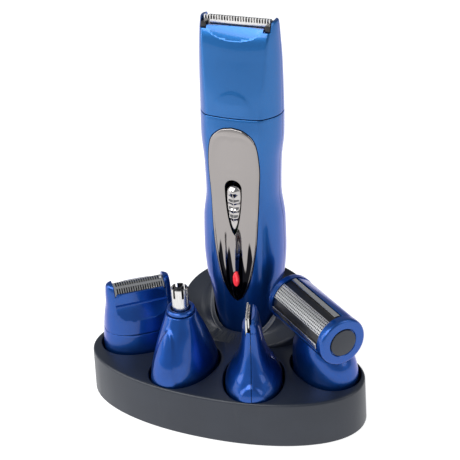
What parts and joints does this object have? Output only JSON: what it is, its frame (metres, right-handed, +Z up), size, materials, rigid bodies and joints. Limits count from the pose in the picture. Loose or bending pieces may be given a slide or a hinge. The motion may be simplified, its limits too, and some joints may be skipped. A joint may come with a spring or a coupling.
{
  "type": "body groomer",
  "caption": "Cordless body groomer in a dark oval storage stand: hourglass handle with a comb trimmer head, slide switch and four spare heads.",
  "frame": {"origin": "middle of the non-slip pad's underside, below the middle of the stand's oval", "axes": "+Z up, the front of the handle and the row of spare heads face -Y, +X to the right"},
  "size_m": [0.138, 0.087, 0.1843],
  "materials": {
    "blue_plastic": "pearl metallic gloss",
    "stand_plastic": "fine matt texture",
    "black_plastic": "satin",
    "rubber": "matt",
    "screw_steel": "plated",
    "chrome_panel": "smoked mirror plating",
    "red_lens": "clear red",
    "cell_wrap": "shrink film",
    "board": "solder mask",
    "white_plastic": "natural",
    "steel": "ground and polished"
  },
  "bodies": {
    "stand": {"stand_shell": "stand_plastic", "stand_bottom_plate": "black_plastic", "non_slip_pad": "rubber", "stand_screw_1": "screw_steel", "stand_screw_2": "screw_steel", "stand_screw_3": "screw_steel"},
    "handle": {"handle_front_shell": "blue_plastic", "handle_rear_shell": "blue_plastic", "front_panel": "chrome_panel", "indicator_lens": "red_lens", "handle_screw_1": "screw_steel", "handle_screw_2": "screw_steel", "battery_cell": "cell_wrap", "circuit_board": "board", "drive_motor": "steel", "motor_bracket": "white_plastic", "charging_inlet": "black_plastic", "coupling_plug": "black_plastic"},
    "drive_cam": {"drive_cam": "white_plastic"},
    "power_switch": {"power_switch": "chrome_panel"},
    "trimmer_head": {"head_front_cover": "blue_plastic", "head_rear_cover": "blue_plastic", "blade_carrier": "black_plastic", "fixed_blade": "steel"},
    "moving_blade": {"moving_blade": "steel"},
    "mini_shaver": {"mini_shaver_base_ring": "blue_plastic", "mini_shaver_body": "blue_plastic", "mini_shaver_foil": "steel"},
    "mini_shaver_cutter": {"mini_shaver_cutter": "steel"},
    "nose_trimmer": {"nose_trimmer_cone": "blue_plastic", "nose_trimmer_collar": "blue_plastic", "nose_trimmer_guard": "steel"},
    "nose_trimmer_cutter": {"nose_trimmer_cutter": "steel"},
    "detail_trimmer": {"detail_trimmer_front_shell": "blue_plastic", "detail_trimmer_rear_shell": "blue_plastic", "detail_trimmer_fixed_blade": "steel"},
    "detail_trimmer_blade": {"detail_trimmer_moving_blade": "steel"},
    "body_shaver": {"body_shaver_base": "blue_plastic", "body_shaver_barrel": "blue_plastic", "body_shaver_front_rail": "black_plastic", "body_shaver_upper_rail": "black_plastic", "body_shaver_foil": "steel", "body_shaver_lower_trimmer": "steel", "body_shaver_upper_trimmer": "steel", "body_shaver_outer_cap": "blue_plastic", "body_shaver_inner_cap": "blue_plastic", "body_shaver_outer_disc": "stand_plastic", "body_shaver_inner_disc": "stand_plastic"},
    "body_shaver_cutter": {"body_shaver_cutter": "steel"}
  },
  "joints": [
    {"name": "handle_lift", "type": "slide", "parent": "stand", "child": "handle", "axis": [0, 0.0523, 0.9986], "range_m": [0, 0.07]},
    {"name": "drive_cam_spin", "type": "hinge", "parent": "handle", "child": "drive_cam", "pos_m": [0, 0.0306, 0], "axis": [0, 0.0523, 0.9986], "continuous": true},
    {"name": "power_switch_slide", "type": "slide", "parent": "handle", "child": "power_switch", "axis": [0, 0.0523, 0.9986], "range_m": [0, 0.0025]},
    {"name": "trimmer_head_release", "type": "slide", "parent": "handle", "child": "trimmer_head", "axis": [0, 0.0523, 0.9986], "range_m": [0, 0.015]},
    {"name": "moving_blade_stroke", "type": "slide", "parent": "trimmer_head", "child": "moving_blade", "axis": [1, 0, 0], "range_m": [-0.0012, 0.0012]},
    {"name": "mini_shaver_lift", "type": "slide", "parent": "stand", "child": "mini_shaver", "axis": [0, 0, 1], "range_m": [0, 0.045]},
    {"name": "mini_shaver_cutter_stroke", "type": "slide", "parent": "mini_shaver", "child": "mini_shaver_cutter", "axis": [0.809, 0.5878, 0], "range_m": [-0.0012, 0.0012]},
    {"name": "nose_trimmer_lift", "type": "slide", "parent": "stand", "child": "nose_trimmer", "axis": [0, 0, 1], "range_m": [0, 0.045]},
    {"name": "nose_trimmer_cutter_spin", "type": "hinge", "parent": "nose_trimmer", "child": "nose_trimmer_cutter", "pos_m": [-0.0172, -0.0099, 0], "axis": [0, 0, 1], "continuous": true},
    {"name": "detail_trimmer_lift", "type": "slide", "parent": "stand", "child": "detail_trimmer", "axis": [0, 0, 1], "range_m": [0, 0.045]},
    {"name": "detail_trimmer_blade_stroke", "type": "slide", "parent": "detail_trimmer", "child": "detail_trimmer_blade", "axis": [0.2756, -0.9613, 0], "range_m": [-0.0012, 0.0012]},
    {"name": "body_shaver_lift", "type": "slide", "parent": "stand", "child": "body_shaver", "axis": [0, 0, 1], "range_m": [0, 0.045]},
    {"name": "body_shaver_cutter_stroke", "type": "slide", "parent": "body_shaver", "child": "body_shaver_cutter", "axis": [0.7547, -0.6561, 0], "range_m": [-0.0012, 0.0012]}
  ]
}
